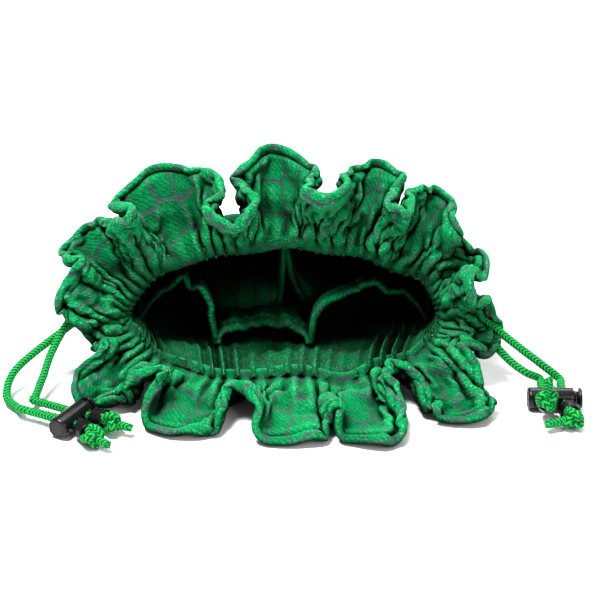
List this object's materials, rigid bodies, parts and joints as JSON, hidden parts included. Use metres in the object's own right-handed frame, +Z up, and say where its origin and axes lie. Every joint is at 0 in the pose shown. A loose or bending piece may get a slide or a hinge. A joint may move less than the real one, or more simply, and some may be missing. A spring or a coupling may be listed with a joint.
{
  "type": "drawstring dice bag",
  "caption": "Plush drawstring bag for gaming dice, lying on its side: round base, inner ring of pockets, ruffled mouth, two drawcords with sprung cord locks, bell beads and knots.",
  "frame": {"origin": "on the table plane under the middle of the bag, at the resting face's mount point", "axes": "+Z up from the table, -Y out of the bag's mouth, +X towards the right-hand cord lock"},
  "size_m": [0.2214, 0.1582, 0.0792],
  "materials": {
    "plush_cloth": "short-pile plush, printed with dark rounded cells",
    "lining_cloth": "the same plush, inside",
    "cord": "round braided cord",
    "black_plastic": "moulded, glossy",
    "spring_wire": "bright wire"
  },
  "bodies": {
    "bag": {"outer_front_panel": "plush_cloth", "outer_back_panel": "plush_cloth", "lining_front_panel": "lining_cloth", "lining_back_panel": "lining_cloth", "collar_front": "plush_cloth", "base_panel": "plush_cloth", "base_lining": "lining_cloth", "pocket_1": "lining_cloth", "pocket_2": "lining_cloth", "pocket_3": "lining_cloth", "pocket_4": "lining_cloth", "pocket_5": "lining_cloth", "pocket_6": "lining_cloth", "pocket_7": "lining_cloth", "drawcord_left": "cord", "drawcord_right": "cord", "cord_tail_left_1": "cord", "cord_tail_left_2": "cord", "cord_tail_right_1": "cord", "cord_tail_right_2": "cord"},
    "upper_lip": {"collar_back": "plush_cloth"},
    "cord_end_left": {"cord_end_left_1": "cord", "cord_end_left_2": "cord", "bell_bead_left_1": "black_plastic", "bell_bead_left_2": "black_plastic"},
    "lock_left": {"lock_barrel_left": "black_plastic", "lock_spring_left": "spring_wire"},
    "plunger_left": {"lock_plunger_left": "black_plastic"},
    "cord_end_right": {"cord_end_right_1": "cord", "cord_end_right_2": "cord", "bell_bead_right_1": "black_plastic", "bell_bead_right_2": "black_plastic"},
    "lock_right": {"lock_barrel_right": "black_plastic", "lock_spring_right": "spring_wire"},
    "plunger_right": {"lock_plunger_right": "black_plastic"}
  },
  "joints": [
    {"name": "mouth_draw", "type": "slide", "parent": "bag", "child": "upper_lip", "axis": [0, 0, -1], "range_m": [0, 0.018], "stiffness_N_per_m": 40, "springref_m": -0.005, "deforming": ["collar_back"]},
    {"name": "cord_pull_left", "type": "slide", "parent": "bag", "child": "cord_end_left", "axis": [-0.6, -0.8, 0], "range_m": [0, 0.018], "deforming": ["cord_tail_left_1", "cord_tail_left_2"]},
    {"name": "lock_slide_left", "type": "slide", "parent": "cord_end_left", "child": "lock_left", "axis": [-0.8829, 0.4695, 0], "range_m": [0, 0.012]},
    {"name": "plunger_press_left", "type": "slide", "parent": "lock_left", "child": "plunger_left", "axis": [-0.4695, -0.8829, 0], "range_m": [0, 0.0016], "stiffness_N_per_m": 20, "springref_m": -0.001, "deforming": ["lock_spring_left"]},
    {"name": "cord_pull_right", "type": "slide", "parent": "bag", "child": "cord_end_right", "axis": [0.6, -0.8, 0], "range_m": [0, 0.018], "deforming": ["cord_tail_right_1", "cord_tail_right_2"]},
    {"name": "lock_slide_right", "type": "slide", "parent": "cord_end_right", "child": "lock_right", "axis": [0, 1, 0], "range_m": [0, 0.007]},
    {"name": "plunger_press_right", "type": "slide", "parent": "lock_right", "child": "plunger_right", "axis": [-1, 0, 0], "range_m": [0, 0.0016], "stiffness_N_per_m": 20, "springref_m": -0.001, "deforming": ["lock_spring_right"]}
  ],
  "couplings": [
    {"joint": "cord_pull_left", "follows": "mouth_draw", "ratio": 1},
    {"joint": "cord_pull_right", "follows": "mouth_draw", "ratio": 1}
  ]
}
